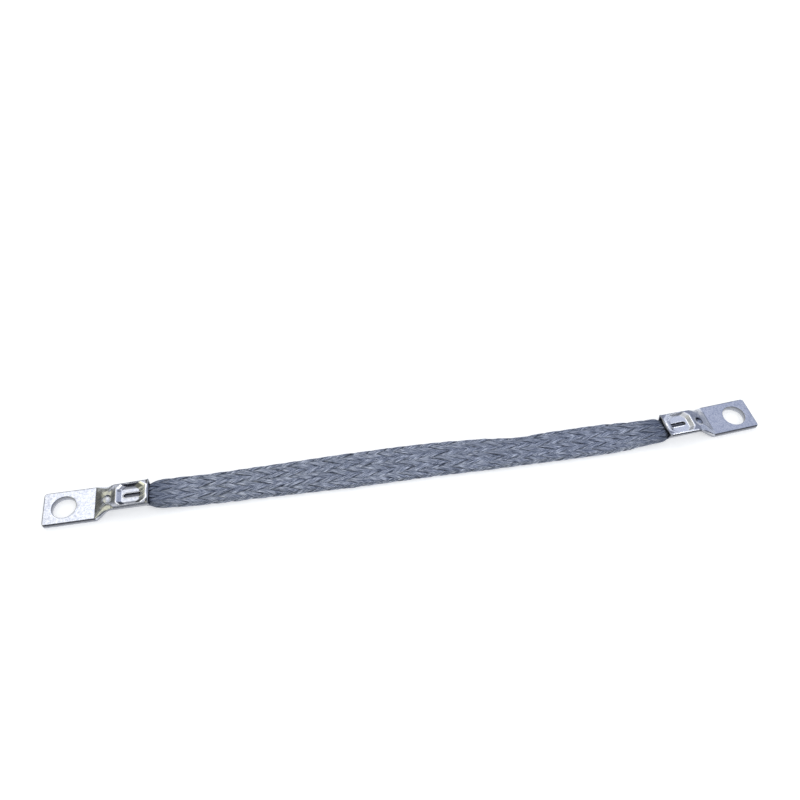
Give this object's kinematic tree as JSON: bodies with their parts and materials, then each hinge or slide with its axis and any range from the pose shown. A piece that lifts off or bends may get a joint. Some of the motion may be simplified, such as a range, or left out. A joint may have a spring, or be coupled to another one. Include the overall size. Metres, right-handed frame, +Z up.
{
  "type": "flexible busbar braid",
  "caption": "Flexible earthing strap: a flat braid of tinned copper wire with a crimped tubular lug and bolt hole at each end.",
  "frame": {"origin": "middle of the strap's box, on the surface that it lies on", "axes": "+X along the strap towards the right lug, +Y across it, +Z up out of the palms"},
  "size_m": [0.2646, 0.0158, 0.0065],
  "materials": {
    "tinned_lug": "bright tin plate over copper, smooth with a soft sheen",
    "tinned_wire": "dull tinned copper wire, slate grey"
  },
  "bodies": {
    "root": {"lug_left": "tinned_lug", "lug_right": "tinned_lug", "braid": "tinned_wire"}
  },
  "joints": []
}
